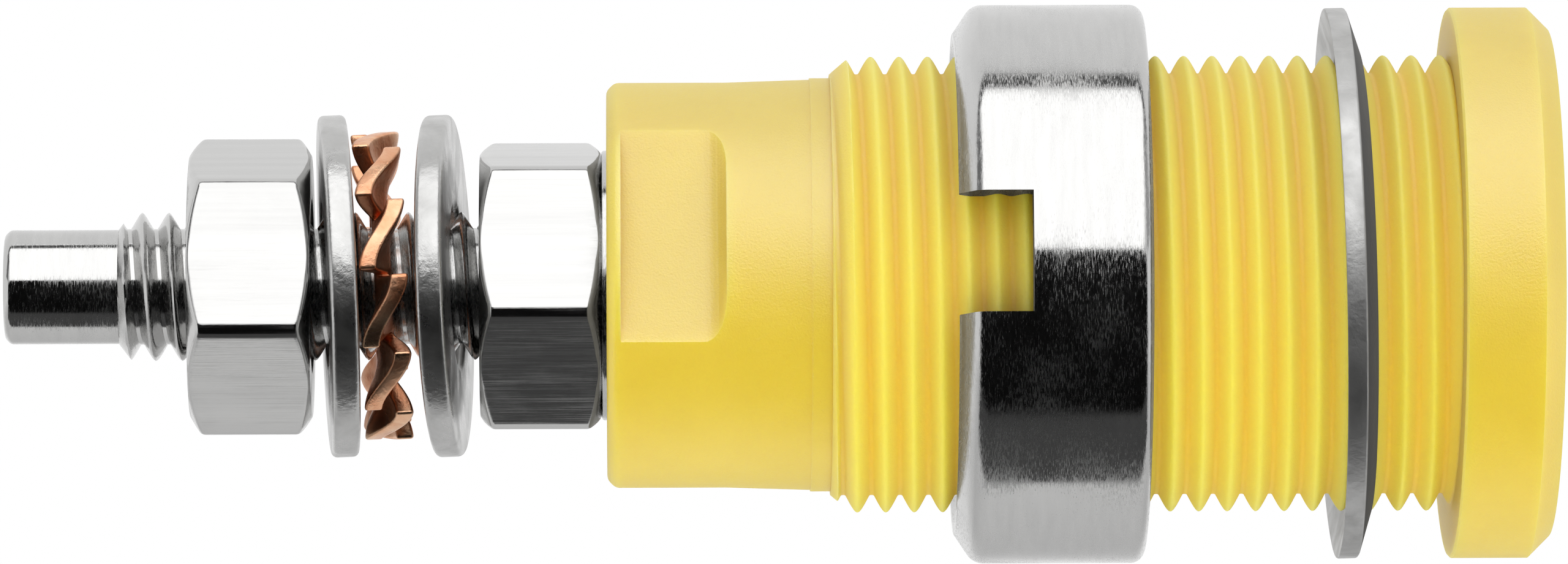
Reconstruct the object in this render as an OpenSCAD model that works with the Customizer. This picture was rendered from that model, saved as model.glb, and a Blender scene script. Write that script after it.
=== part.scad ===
// Panel-mounting safety socket for 4 mm plugs, with a threaded stud terminal.
// The axis is X. X = 0 is the flange's back face, the plug goes in from +X, and Z is up.
// Millimetres throughout.

/* [Insulator] */
// Outer diameter of the panel thread
panel_thread_d = 12; // [11.5:0.25:16]
// Pitch of the panel thread
panel_pitch = 0.75; // [0.5:0.05:1.25]
// Length of the threaded barrel, from the flange's back face
barrel_l = 16.3; // [12:0.1:30]
// How far the flange stands out past the thread
flange_overhang = 1.25; // [0.8:0.05:4]
// Thickness of the flange
flange_t = 2.6; // [1.6:0.1:5]
// Chamfer on the flange's front edge
flange_chamfer = 0.55; // [0.2:0.05:1]
// Fillet where the panel thread runs into the flange
flange_root = 0.05; // [0.02:0.01:0.08]
// Length of the plain collar behind the thread
collar_l = 0.53; // [0.2:0.01:2]
// Radial step from the thread's root down to the collar
collar_step = 0.1; // [0.02:0.01:0.15]
// Length of the rear body behind the collar
rear_l = 5.34; // [4.5:0.02:10]
// Radial step from the thread's root down to the rear body
rear_step = 0.21; // [0.2:0.01:0.6]
// Widening of the rear body towards the collar
rear_draft = 0.07; // [0:0.01:0.1]
// Chamfer on the rear body's end
rear_chamfer = 0.28; // [0.1:0.02:0.36]
// Length of the two wrench flats
flat_l = 2.75; // [1.5:0.05:3.5]
// Rim left standing behind the wrench flats
flat_rim = 0.37; // [0.36:0.01:0.8]
// Depth of the wrench flats at their middle
flat_depth = 0.84; // [0.3:0.02:1.1]
// Turn of the wrench flats above the horizontal, in degrees
flat_roll = 16.6; // [-90:0.1:90]
// Thickness of the solid base, from the rear face to the floor of the plug gap
base_t = 5.75; // [4.6:0.05:8]
// Width of the ring-shaped gap that takes a plug's shroud
plug_gap = 1.25; // [0.9:0.05:1.5]
// Wall of the inner tube round the contact
inner_wall = 0.73; // [0.5:0.01:0.9]
// How far the inner tube lies behind the flange's front face
inner_recess = 0.4; // [0:0.05:2]
// Chamfers at the front mouths
mouth_chamfer = 0.25; // [0.1:0.05:0.3]

/* [Contact] */
// Bore for the plug
plug_d = 4; // [3.4:0.05:4.4]
// Wall of the socket tube
contact_wall = 0.6; // [0.45:0.05:0.8]
// How far the socket tube lies behind the flange's front face
contact_recess = 3.6; // [2:0.1:6]
// Depth of the plug bore
plug_depth = 18.4; // [12:0.1:19]
// How far the collar stands out past the socket tube
contact_collar_w = 0.95; // [0.4:0.05:1]
// Length of the collar
contact_collar_l = 1.5; // [0.8:0.05:2.5]
// How far the collar stands proud of the insulator's rear face
contact_collar_proud = 0.13; // [0.05:0.01:0.5]
// Outer diameter of the stud's thread
stud_d = 3.9; // [3.4:0.05:4.6]
// Pitch of the stud's thread
stud_pitch = 0.7; // [0.5:0.05:0.8]
// Length of the stud's thread
stud_l = 12.7; // [12:0.1:20]
// Length of the plain pilot tip
tip_l = 3; // [1:0.1:6]
// Radial step from the thread's root down to the tip
tip_step = 0.02; // [0.01:0.01:0.3]
// Clearance between the contact and the insulator
contact_clearance = 0.02; // [0.01:0.01:0.05]

/* [Nuts] */
// Width of the hexagon nuts across their flats
nut_af = 7; // [6.4:0.1:9]
// Height of the hexagon nuts
nut_h = 3.2; // [2:0.1:4]
// How far the nuts' round end faces lie inside the flats
nut_face_inset = 0.06; // [0.03:0.01:0.3]
// Angle of the chamfer on the nuts' corners
nut_chamfer_angle = 30; // [15:1:40]
// Turn of the terminal nut: its near corner below the horizontal, in degrees
terminal_nut_roll = 17; // [-30:0.5:30]
// Turn of the clamp nut: its near corner below the horizontal, in degrees
clamp_nut_roll = 10; // [-30:0.5:30]
// Radial clearance between a nut's bore and the thread's crests
thread_clearance = 0.05; // [0.02:0.01:0.1]
// Countersink at both ends of every nut's bore
bore_countersink = 0.3; // [0.1:0.05:0.5]

/* [Washers on the stud] */
// Outer diameter of the plain washers
washer_d = 9; // [8:0.1:12]
// Thickness of the plain washers
washer_t = 0.72; // [0.5:0.02:1]
// Radial clearance of every washer on the stud
washer_clearance = 0.2; // [0.1:0.02:0.3]
// Broken edges of the washers
edge_break = 0.08; // [0.04:0.01:0.15]
// Outer diameter of the fan washer over its teeth
fan_d = 8.1; // [7.4:0.1:10]
// Sheet thickness of the fan washer
fan_sheet = 0.45; // [0.3:0.01:0.6]
// How much the sheet thins where a tooth is pressed
fan_thinning = 0.04; // [0:0.01:0.1]
// Width of the flat ring that carries the teeth
fan_ring_w = 0.8; // [0.5:0.05:1]
// Number of teeth
fan_teeth = 12; // [8:1:16]
// Axial rise of a tooth from one end of its outer edge to the other
fan_rise = 0.82; // [0.4:0.02:1.2]
// Slot between two teeth, in degrees
fan_slot = 2; // [1:0.25:6]
// Turn of the fan washer on the stud, in degrees
fan_roll = 9.5; // [-180:0.5:180]

/* [Stack at rest] */
// Least gap between the clamp nut and the inner washer
clamp_gap = 0.3; // [0.05:0.01:1]
// Least gap between the inner washer and the fan washer
inner_gap = 0.21; // [0.05:0.01:1]
// Least gap between the fan washer and the outer washer
outer_gap = 0.08; // [0.05:0.01:1]
// Least gap between the outer washer and the terminal nut
terminal_gap = 0.09; // [0.05:0.01:1]
// Lean of the inner washer: its top towards the terminal nut, in degrees
inner_lean = 1.9; // [-3:0.1:3]
// Yaw of the inner washer: its near side towards the flange, in degrees
inner_yaw = -4.4; // [-5:0.1:5]
// Lean of the fan washer, in degrees
fan_lean = 2.6; // [-3:0.1:3]
// Yaw of the fan washer, in degrees
fan_yaw = 2; // [-5:0.1:5]
// Lean of the outer washer, in degrees
outer_lean = 2.15; // [-3:0.1:3]
// Yaw of the outer washer, in degrees
outer_yaw = 3.3; // [-5:0.1:5]

/* [Ring nut] */
// Wall of the ring nut outside its thread
ring_nut_wall = 1.3; // [1:0.05:3]
// Length of the ring nut
ring_nut_l = 5; // [3.5:0.1:8]
// Distance from the flange's back face to the ring nut
ring_nut_x = 8.05; // [5:0.05:10]
// Radial width of the bevel on the ring nut's slotted end
ring_nut_bevel_w = 0.75; // [0.2:0.05:0.9]
// Axial length of the bevel on the ring nut's slotted end
ring_nut_bevel_l = 0.5; // [0.2:0.05:1]
// Rounding of the ring nut's front edge
ring_nut_round = 0.35; // [0.1:0.05:0.5]
// Width of the spanner slots
slot_w = 3.15; // [1.5:0.05:5]
// Depth of the spanner slots
slot_depth = 1.9; // [0.8:0.1:3]
// Turn of the spanner slots above the horizontal, in degrees
slot_roll = 7; // [-90:0.5:90]

/* [Panel washer] */
// Radial width of the panel washer
panel_washer_w = 1.15; // [0.8:0.05:4]
// Sheet thickness of the panel washer
panel_washer_t = 0.53; // [0.3:0.01:1]
// Dish of the panel washer: its bore stands this far ahead of its rim
panel_washer_dish = 0.27; // [0:0.01:0.5]
// Radial clearance of the panel washer on the thread
panel_washer_clearance = 0.1; // [0.05:0.01:0.3]
// Distance from the flange's back face to the middle of the panel washer's rim
panel_washer_x = 2.85; // [1.5:0.05:4]
// Lean of the panel washer: its top towards the ring nut, in degrees
panel_washer_lean = 1.2; // [-2:0.1:2]

/* [Hidden] */
$fn = 96;

// Colours
yellow = [0.94, 0.83, 0.38];
nickel = [0.78, 0.78, 0.77];
copper = [0.78, 0.46, 0.30];

// Thread form: a 60 degree profile with small flats at crest and root
thread_depth_share = 0.613;
crest_share = 0.16;
root_share = 0.15;

// Panel thread and what lies round it
panel_crest_r = panel_thread_d / 2;
panel_root_r = panel_crest_r - thread_depth_share * panel_pitch;
flange_r = panel_crest_r + flange_overhang;
flange_edge = 0.12;
collar_r = panel_root_r - collar_step;
rear_r = panel_root_r - rear_step;
rear_front_r = min(rear_r + rear_draft, collar_r);
flat_r = rear_r - flat_depth;

// Stations along the axis, from the flange towards the rear
collar_x = -barrel_l - collar_l;
rear_x = collar_x - rear_l;
flat_x = rear_x + flat_rim;
floor_x = rear_x + base_t;
inner_front_x = flange_t - inner_recess;
seat_x = rear_x - contact_collar_proud;
stud_end_x = seat_x - stud_l;
tip_x = stud_end_x - tip_l;

// Contact, from the plug bore outwards
plug_r = plug_d / 2;
tube_r = plug_r + contact_wall;
contact_front_x = flange_t - contact_recess;
plug_floor_x = contact_front_x - plug_depth;
drill_point = 0.6 * plug_r;
contact_collar_r = tube_r + contact_collar_w;
contact_collar_x = seat_x + contact_collar_l;
stud_r = stud_d / 2;
stud_root_r = stud_r - thread_depth_share * stud_pitch;
tip_r = stud_root_r - tip_step;
tip_chamfer = 0.15;

// Insulator, from the contact outwards
contact_hole_r = tube_r + contact_clearance;
collar_hole_r = contact_collar_r + contact_clearance;
collar_hole_x = contact_collar_x + contact_clearance;
inner_r = contact_hole_r + inner_wall;
gap_r = inner_r + plug_gap;

// Hexagon nuts and washers
nut_corner_r = nut_af / 2 / cos(30);
nut_face_r = nut_af / 2 - nut_face_inset;
nut_bore_r = stud_r + thread_clearance;
washer_hole_r = stud_r + washer_clearance;
washer_r = washer_d / 2;

// Fan washer: the teeth thin a little where they are twisted out of the flat ring
fan_r = fan_d / 2;
fan_ring_r = washer_hole_r + fan_ring_w;
tooth_sheet = fan_sheet - fan_thinning;
tooth_root_r = fan_ring_r - fan_ring_w / 3;
tooth_half_angle = 180 / fan_teeth - fan_slot / 2;
tooth_rows = 5;
tooth_columns = 8;
fan_half_t = (fan_rise + tooth_sheet) / 2;

// Places of the loose pieces, each clear of its neighbour by its own least gap
clamp_nut_x = seat_x - nut_h;
inner_washer_x = clamp_nut_x - clamp_gap - washer_t / 2
    - apart(inner_lean, inner_yaw, 0, 0, nut_face_r);
fan_washer_x = inner_washer_x - washer_t / 2 - inner_gap - fan_half_t
    - apart(inner_lean, inner_yaw, fan_lean, fan_yaw, fan_r);
outer_washer_x = fan_washer_x - fan_half_t - outer_gap - washer_t / 2
    - apart(fan_lean, fan_yaw, outer_lean, outer_yaw, fan_r);
terminal_nut_x = outer_washer_x - washer_t / 2 - terminal_gap - nut_h
    - apart(outer_lean, outer_yaw, 0, 0, nut_face_r);

// Ring nut and panel washer
ring_bore_r = panel_crest_r + thread_clearance;
ring_r = ring_bore_r + ring_nut_wall;
ring_nut_rear_x = -ring_nut_x - ring_nut_l;
panel_hole_r = panel_crest_r + panel_washer_clearance;
panel_washer_r = panel_hole_r + panel_washer_w;

// Room that a cutting shape is given past what it cuts
cut = 1;

// Axial distance that two tilted flat pieces need between their middles at radius r
function apart(lean_a, yaw_a, lean_b, yaw_b, r) =
    r * norm([tan(lean_a) - tan(lean_b), tan(yaw_a) - tan(yaw_b)]);

// Closed ridges with the thread's section, as [radius, axial place] points
function ridges(start, count, pitch, root_r, crest_r) = [
    for (i = [0 : count - 1])
        for (p = [
            [root_r, root_share / 2],
            [crest_r, (1 - crest_share) / 2],
            [crest_r, (1 + crest_share) / 2],
            [root_r, 1 - root_share / 2]
        ])
            [p[0], start + pitch * (i + p[1])]
];

// A solid of revolution round the X axis, from [radius, axial place] points
module turned(points) {
    rotate([0, 90, 0])
        rotate_extrude()
            polygon(points);
}

// A piece on the axis with its top leaning to -X and its near side turned to +X
module placed(x, lean = 0, yaw = 0) {
    translate([x, 0, 0])
        rotate([0, -lean, yaw])
            children();
}

module insulator_body() {
    // the last ridge runs into the flange at its crest
    last_root_x = -panel_pitch / 2;
    count = floor((barrel_l + last_root_x) / panel_pitch);
    turned(concat(
        [
            [collar_hole_r, rear_x],
            [rear_r - rear_chamfer, rear_x],
            [rear_r, rear_x + rear_chamfer],
            [rear_r, flat_x + flat_l],
            [rear_front_r, collar_x],
            [collar_r, collar_x],
            [collar_r, -barrel_l]
        ],
        ridges(last_root_x - count * panel_pitch, count, panel_pitch, panel_root_r, panel_crest_r),
        [
            [panel_root_r, last_root_x + panel_pitch * root_share / 2],
            [panel_crest_r, -panel_pitch * crest_share / 2],
            [panel_crest_r + flange_root, 0],
            [flange_r - flange_edge, 0],
            [flange_r, flange_edge],
            [flange_r, flange_t - flange_chamfer],
            [flange_r - flange_chamfer, flange_t],
            [gap_r + mouth_chamfer, flange_t],
            [gap_r, flange_t - mouth_chamfer],
            [gap_r, floor_x],
            [inner_r, floor_x],
            [inner_r, inner_front_x - mouth_chamfer],
            [inner_r - mouth_chamfer, inner_front_x],
            [contact_hole_r + mouth_chamfer, inner_front_x],
            [contact_hole_r, inner_front_x - mouth_chamfer],
            [contact_hole_r, collar_hole_x],
            [collar_hole_r, collar_hole_x]
        ]
    ));
}

module insulator() {
    color(yellow)
        difference() {
            insulator_body();
            for (side = [0, 180])
                rotate([side - flat_roll, 0, 0])
                    translate([flat_x, -flat_r - rear_r, -rear_r])
                        cube([flat_l, rear_r, 2 * rear_r]);
        }
}

module contact_stud() {
    count = floor(stud_l / stud_pitch);
    color(nickel)
        turned(concat(
            [
                [0, tip_x],
                [tip_r - tip_chamfer, tip_x],
                [tip_r, tip_x + tip_chamfer],
                [tip_r, stud_end_x]
            ],
            ridges(stud_end_x, count, stud_pitch, stud_root_r, stud_r),
            [
                [stud_root_r, seat_x],
                [contact_collar_r - edge_break, seat_x],
                [contact_collar_r, seat_x + edge_break],
                [contact_collar_r, contact_collar_x],
                [tube_r, contact_collar_x],
                [tube_r, contact_front_x - mouth_chamfer],
                [tube_r - mouth_chamfer, contact_front_x],
                [plug_r + mouth_chamfer / 2, contact_front_x],
                [plug_r, contact_front_x - mouth_chamfer / 2],
                [plug_r, plug_floor_x],
                [0, plug_floor_x - drill_point]
            ]
        ));
}

// A hexagon nut with both ends chamfered, its rear face at X = 0
module hex_nut(roll) {
    chamfer = (nut_corner_r + cut - nut_face_r) * tan(nut_chamfer_angle);
    outer_r = nut_corner_r + cut;
    intersection() {
        rotate([roll, 0, 0])
            rotate([0, 90, 0])
                rotate([0, 0, 90])
                    cylinder(r = nut_corner_r, h = nut_h, $fn = 6);
        turned([
            [nut_bore_r + bore_countersink, 0],
            [nut_face_r, 0],
            [outer_r, chamfer],
            [outer_r, nut_h - chamfer],
            [nut_face_r, nut_h],
            [nut_bore_r + bore_countersink, nut_h],
            [nut_bore_r, nut_h - bore_countersink],
            [nut_bore_r, bore_countersink]
        ]);
    }
}

module clamp_nut() {
    color(nickel)
        placed(clamp_nut_x)
            hex_nut(clamp_nut_roll);
}

module terminal_nut() {
    color(nickel)
        placed(terminal_nut_x)
            hex_nut(terminal_nut_roll);
}

// A plain washer with broken outer edges, centred on its own thickness
module plain_washer() {
    turned([
        [washer_hole_r, -washer_t / 2],
        [washer_r - edge_break, -washer_t / 2],
        [washer_r, -washer_t / 2 + edge_break],
        [washer_r, washer_t / 2 - edge_break],
        [washer_r - edge_break, washer_t / 2],
        [washer_hole_r, washer_t / 2]
    ]);
}

module inner_washer() {
    color(nickel)
        placed(inner_washer_x, inner_lean, inner_yaw)
            plain_washer();
}

module outer_washer() {
    color(nickel)
        placed(outer_washer_x, outer_lean, outer_yaw)
            plain_washer();
}

// Point of a fan tooth: row runs from the root to the tip, column from one side to the other.
// The tooth is pressed into an S across its width, flat where it leaves the ring.
function tooth_point(row, column, face) =
    let (
        r = tooth_root_r + (fan_r - tooth_root_r) * row / tooth_rows,
        across = 2 * column / tooth_columns - 1,
        angle = across * tooth_half_angle,
        growth = max(0, (r - fan_ring_r) / (fan_r - fan_ring_r)),
        lift = -fan_rise / 2 * sin(90 * growth) * sin(90 * across)
    )
    [r * cos(angle), r * sin(angle), lift + face * tooth_sheet / 2];

// One twisted tooth, its root buried in the flat ring
module fan_tooth() {
    across = tooth_columns + 1;
    layer = (tooth_rows + 1) * across;
    points = [
        for (face = [1, -1])
            for (row = [0 : tooth_rows])
                for (column = [0 : tooth_columns])
                    tooth_point(row, column, face)
    ];
    // a grid cell of the upper face is turned one way, of the lower face the other way
    cells = [
        for (row = [0 : tooth_rows - 1])
            for (column = [0 : tooth_columns - 1])
                let (a = row * across + column, b = a + across)
                each [
                    [a, a + 1, b + 1],
                    [a, b + 1, b],
                    [layer + a, layer + b + 1, layer + a + 1],
                    [layer + a, layer + b, layer + b + 1]
                ]
    ];
    // the rim of the sheet: root, tip and both sides
    ends = [
        for (column = [0 : tooth_columns - 1])
            let (a = column, b = tooth_rows * across + column)
            each [
                [a, layer + a, layer + a + 1],
                [a, layer + a + 1, a + 1],
                [b, layer + b + 1, layer + b],
                [b, b + 1, layer + b + 1]
            ]
    ];
    sides = [
        for (row = [0 : tooth_rows - 1])
            let (a = row * across, b = a + tooth_columns)
            each [
                [a, layer + a + across, layer + a],
                [a, a + across, layer + a + across],
                [b, layer + b, layer + b + across],
                [b, layer + b + across, b + across]
            ]
    ];
    polyhedron(points, concat(cells, ends, sides));
}

module fan_washer() {
    color(copper)
        placed(fan_washer_x, fan_lean, fan_yaw) {
            turned([
                [washer_hole_r, -fan_sheet / 2],
                [fan_ring_r, -fan_sheet / 2],
                [fan_ring_r, fan_sheet / 2],
                [washer_hole_r, fan_sheet / 2]
            ]);
            rotate([0, 90, 0])
                for (i = [0 : fan_teeth - 1])
                    rotate([0, 0, fan_roll + 360 / fan_teeth * i])
                        fan_tooth();
        }
}

// Dished ring: rim and bore are cylinders, both faces are cones
module panel_washer() {
    rim = panel_washer_t / 2;
    color(nickel)
        placed(-panel_washer_x, panel_washer_lean)
            turned([
                [panel_hole_r, panel_washer_dish - rim],
                [panel_washer_r, -rim],
                [panel_washer_r, rim],
                [panel_hole_r, panel_washer_dish + rim]
            ]);
}

// Round nut: the slotted end is bevelled and the front edge is rounded
module ring_nut() {
    front = ring_nut_l - ring_nut_round;
    color(nickel)
        placed(ring_nut_rear_x)
            difference() {
                rotate([0, 90, 0])
                    rotate_extrude()
                        difference() {
                            polygon([
                                [ring_bore_r + bore_countersink, 0],
                                [ring_r - ring_nut_bevel_w, 0],
                                [ring_r, ring_nut_bevel_l],
                                [ring_r, ring_nut_l],
                                [ring_bore_r + bore_countersink, ring_nut_l],
                                [ring_bore_r, ring_nut_l - bore_countersink],
                                [ring_bore_r, bore_countersink]
                            ]);
                            translate([ring_r - ring_nut_round, front])
                                difference() {
                                    square(ring_nut_round + cut);
                                    circle(r = ring_nut_round);
                                }
                        }
                rotate([-slot_roll, 0, 0])
                    translate([-cut, -ring_r - cut, -slot_w / 2])
                        cube([cut + slot_depth, 2 * (ring_r + cut), slot_w]);
            }
}

insulator();
contact_stud();
clamp_nut();
inner_washer();
fan_washer();
outer_washer();
terminal_nut();
panel_washer();
ring_nut();
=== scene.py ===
"""Looks of a panel-mounting safety socket.

A yellow threaded insulator, a nickel-plated contact with its nuts and washers, and a copper fan washer.
The axis is X, the plug goes in from +X, Z is up and the camera looks along +Y. Sizes are in millimetres.
"""

import math

import bmesh
import bpy
from mathutils import Matrix, Vector


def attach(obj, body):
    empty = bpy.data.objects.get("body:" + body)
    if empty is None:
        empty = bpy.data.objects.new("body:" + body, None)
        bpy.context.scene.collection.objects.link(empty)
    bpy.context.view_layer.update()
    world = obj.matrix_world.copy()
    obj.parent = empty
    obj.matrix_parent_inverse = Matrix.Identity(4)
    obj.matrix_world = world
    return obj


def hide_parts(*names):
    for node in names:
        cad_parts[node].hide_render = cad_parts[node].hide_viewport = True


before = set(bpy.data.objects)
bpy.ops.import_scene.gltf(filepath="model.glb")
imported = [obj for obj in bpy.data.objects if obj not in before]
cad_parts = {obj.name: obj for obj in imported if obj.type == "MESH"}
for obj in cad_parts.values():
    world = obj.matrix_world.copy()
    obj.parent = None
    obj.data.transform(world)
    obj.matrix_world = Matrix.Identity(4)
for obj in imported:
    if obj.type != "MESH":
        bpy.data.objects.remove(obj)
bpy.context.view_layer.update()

# Units and directions
MM = 0.001
AXIS = Vector((1, 0, 0))
CENTRE = Vector((0, 0, 0))
NEAR = Vector((0, -1, 0))
UP = Vector((0, 0, 1))

# Tolerances in metres
WELD = 1.0e-6
SAME_PLACE = WELD / 10
ON_PLANE = 2.0e-6
SLIVER = 8.0e-6

# A small margin in millimetres, and the cosine from which a face counts as square to a direction
NEARLY = 0.01
SQUARE = 0.99

# Steps round a full turn, and the angle up to which shading is smooth
TURN_STEPS = 192
THREAD_STEPS = 96
SMOOTH_BELOW = math.radians(38)

# Insulator: a flank falls by its slope from a crest that is rounded over its softness
CREST_R = 6.0
ROOT_R = 5.54
PANEL_PITCH = 0.75
PANEL_TOP_CREST = -0.21
PANEL_FLANK = 2.1
PANEL_CREST_SOFTNESS = 0.125
PANEL_FLANK_POINTS = 12
BARREL_END = -16.3
PANEL_CHAMFER = 0.85
FLANGE_R = 7.25
FLANGE_T = 2.6
FLANGE_CHAMFER = 0.55
FLANGE_EDGE = 0.06
FLANGE_ROOT = 0.05
COLLAR_R = 5.44
COLLAR_END = -16.83
REAR_R = 5.33
REAR_FRONT_R = 5.4
REAR_END = -22.17
REAR_CHAMFER = 0.22
REAR_ROUND = 0.1
FLAT_FROM = -21.8
FLAT_TO = -19.05
FLAT_R = 4.49
FLAT_ROLL = 16.6
FLAT_EDGE = 0.22
FLAT_ROUND = 0.6
FLAT_ROUND_ARC = math.radians(80)
FLAT_ROUND_STEPS = 8
REAR_SKIN = 0.1
GAP_FLOOR = -16.42
GAP_R = 4.6
INNER_R = 3.35
INNER_FRONT = 2.2
MOUTH = 0.25
HOLE_R = 2.62
COLLAR_HOLE_R = 3.57
COLLAR_HOLE_END = -20.78
INSULATOR_EDGE = 0.05

# Contact
TIP_END = -38.0
TIP_R = 1.501
TIP_CHAMFER = 0.15
STUD_END = -35.0
STUD_R = 1.95
STUD_ROOT_R = 1.521
STUD_PITCH = 0.7
STUD_TOP_CREST = -34.39
STUD_FLANK = 1.8
STUD_CREST_SOFTNESS = 0.06
STUD_FLANK_POINTS = 7
STUD_CHAMFER = 1.3
SEAT = -22.3
SEAT_HOLE_R = 2.0
CONTACT_COLLAR_R = 3.55
CONTACT_COLLAR_END = -20.8
TUBE_R = 2.6
TUBE_FRONT = -1.0
PLUG_R = 2.0
PLUG_FLOOR = -19.4
DRILL_POINT = -20.6
CONTACT_EDGE = 0.06

# Hexagon nuts: each one's place is its rear face and its roll in degrees
NUT_ACROSS = 7.0
NUT_H = 3.2
NUT_CORNER = 0.4
NUT_FACE_R = 3.44
NUT_BORE_R = 2.0
NUT_SINK = 0.3
NUT_CHAMFER = math.tan(math.radians(30))
NUT_BLANK_R = 5.0
NUT_STEPS = 360
NUT_ROUND = 0.11
NUT_ROUND_ROWS = 5
NUT_ROWS_FROM = 0.5
NUT_ROWS_SPAN = 0.5
NUT_ROUND_SHARE = 0.9
NUT_EDGE = 0.03
CLAMP_NUT = (-25.5, 10.0)
TERMINAL_NUT = (-33.13, 17.0)

# Washers on the stud: place along the axis, lean and yaw in degrees
WASHER_R = 4.5
WASHER_HOLE_R = 2.15
WASHER_T = 0.72
WASHER_EDGE = 0.15
INNER_WASHER = (-26.448, 1.9, -4.4)
OUTER_WASHER = (-29.2415, 2.15, 3.3)
FAN_WASHER = (-28.09, 2.6, 2.0)
FAN_R = 4.05
FAN_RING_R = 2.95
FAN_SHEET = 0.45
FAN_TOOTH_SHEET = 0.47
FAN_TEETH = 12
FAN_RISE = 0.82
FAN_SLOT = math.radians(2)
FAN_ROLL = math.radians(9.5)
FAN_COLUMNS = 16
FAN_ROWS = 15
FAN_RING_SHARE = 0.4
FAN_EDGE = 0.075

# Ring nut and panel washer: a thread groove's points are its distances back from the front and its depths
RING_REAR = -13.05
RING_FRONT = -8.05
RING_R = 7.35
RING_BORE_R = 6.05
RING_SINK = 0.3
RING_BEVEL_W = 0.75
RING_BEVEL_L = 0.5
RING_ROUND = 0.35
RING_REAR_ROUND = 0.24
SLOT_W = 3.15
SLOT_FLOOR = -11.15
SLOT_ROLL = 7.0
RING_STEPS = 256
RING_THREADS = 5
RING_GROOVE = ((0.04, 0.0), (0.3, 0.45), (0.45, 0.45), (0.71, 0.0))
RING_EDGE = 0.06
SLOT_MARGIN = 0.12
PANEL_WASHER = (-2.85, 1.2, 0.0)
PANEL_WASHER_R = 7.25
PANEL_WASHER_HOLE_R = 6.1
PANEL_WASHER_T = 0.53
PANEL_WASHER_DISH = 0.36
PANEL_WASHER_EDGE = 0.05


# Shapes

def radius(point):
    """Distance of a point from the socket's axis."""
    return math.hypot(point.y, point.z)


def strip(bm, profile, closed):
    """A line of edges through (x, radius) points, on one side of the axis."""
    verts = [bm.verts.new((x * MM, r * MM, 0)) for x, r in profile]
    edges = [bm.edges.new(pair) for pair in zip(verts, verts[1:])]
    if closed:
        edges.append(bm.edges.new((verts[-1], verts[0])))
    return verts + edges


def turn(bm, profile, closed=True, steps=TURN_STEPS):
    """Turns a profile all the way round the axis."""
    bmesh.ops.spin(bm, geom=strip(bm, profile, closed), cent=CENTRE, axis=AXIS,
                   angle=math.tau, steps=steps, use_merge=True)
    bmesh.ops.remove_doubles(bm, verts=bm.verts, dist=WELD)
    bmesh.ops.recalc_face_normals(bm, faces=bm.faces)


def soften(bm, width, segments=2, sharper_than=25, where=None):
    """Rounds the edges that are sharper than an angle in degrees."""
    limit = math.radians(sharper_than)
    edges = [e for e in bm.edges if len(e.link_faces) == 2 and e.calc_face_angle() > limit]
    if where:
        edges = [e for e in edges if all(where(v.co) for v in e.verts)]
    bmesh.ops.bevel(bm, geom=edges, offset=width * MM, offset_type="OFFSET", affect="EDGES",
                    segments=segments, profile=0.5, material=-1, clamp_overlap=True)


def place(bm, x, lean, yaw):
    """Leans a piece's top to -X, turns its near side to +X and moves it along the axis."""
    turned = Matrix.Rotation(math.radians(yaw), 4, "Z") @ Matrix.Rotation(math.radians(-lean), 4, "Y")
    bmesh.ops.transform(bm, matrix=Matrix.Translation(AXIS * x * MM) @ turned, verts=bm.verts)


def absorb(bm, other):
    """Takes another mesh's geometry into this one."""
    carried = bpy.data.meshes.new("carried")
    other.to_mesh(carried)
    other.free()
    bm.from_mesh(carried)
    bpy.data.meshes.remove(carried)


def split(bm, faces, point, normal, clear_inner=False, clear_outer=False):
    """Cuts faces along a plane."""
    edges = {e for f in faces for e in f.edges}
    verts = {v for f in faces for v in f.verts}
    bmesh.ops.bisect_plane(bm, geom=[*faces, *edges, *verts], dist=SAME_PLACE, plane_co=point,
                           plane_no=normal, clear_inner=clear_inner, clear_outer=clear_outer)


def thread_section(pitch, crest, root, slope, softness, points):
    """One pitch of a thread as (x from the crest, radius): round crest, straight flanks and flat root."""
    flank = []
    for number in range(1, points + 1):
        x = pitch / 2 * number / points
        fall = slope * (math.hypot(x, softness) - softness)
        flank.append((x, max(root, crest - fall)))
    return [*[(-x, r) for x, r in reversed(flank)], (0, crest), *flank]


def screw_thread(start, end, pitch, section, top_crest, steps=THREAD_STEPS):
    """A right-hand thread with the given section, cut off square at both ends."""
    bm = bmesh.new()
    first = top_crest - pitch / 4
    first -= pitch * math.ceil((first + pitch / 2 - start) / pitch)
    turns = math.ceil((end - first) / pitch) + 1
    line = strip(bm, [(first + x, r) for x, r in section], closed=False)
    bmesh.ops.spin(bm, geom=line, cent=CENTRE, axis=AXIS, dvec=AXIS * pitch * MM / steps,
                   angle=math.tau, steps=steps)
    one_turn = [*bm.verts, *bm.edges, *bm.faces]
    for number in range(1, turns):
        copy = bmesh.ops.duplicate(bm, geom=one_turn)["geom"]
        verts = [v for v in copy if isinstance(v, bmesh.types.BMVert)]
        bmesh.ops.translate(bm, verts=verts, vec=AXIS * pitch * MM * number)
    bmesh.ops.remove_doubles(bm, verts=bm.verts, dist=WELD)
    split(bm, bm.faces[:], AXIS * start * MM, AXIS, clear_inner=True)
    split(bm, bm.faces[:], AXIS * end * MM, AXIS, clear_outer=True)
    return bm


def chamfer_thread(bm, start, root, slope):
    """Turns the first thread down to a cone that rises from the root."""
    for vert in bm.verts:
        limit = root * MM + max(0, vert.co.x - start * MM) * slope
        if radius(vert.co) > limit:
            vert.co.yz = vert.co.yz * (limit / radius(vert.co))


def close_ring(bm, x):
    """Joins the two open rims that lie in one plane square to the axis."""
    rims = [e for e in bm.edges if e.is_boundary and all(abs(v.co.x - x * MM) < ON_PLANE for v in e.verts)]
    bmesh.ops.triangle_fill(bm, edges=rims, normal=AXIS, use_beauty=True)


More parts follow.
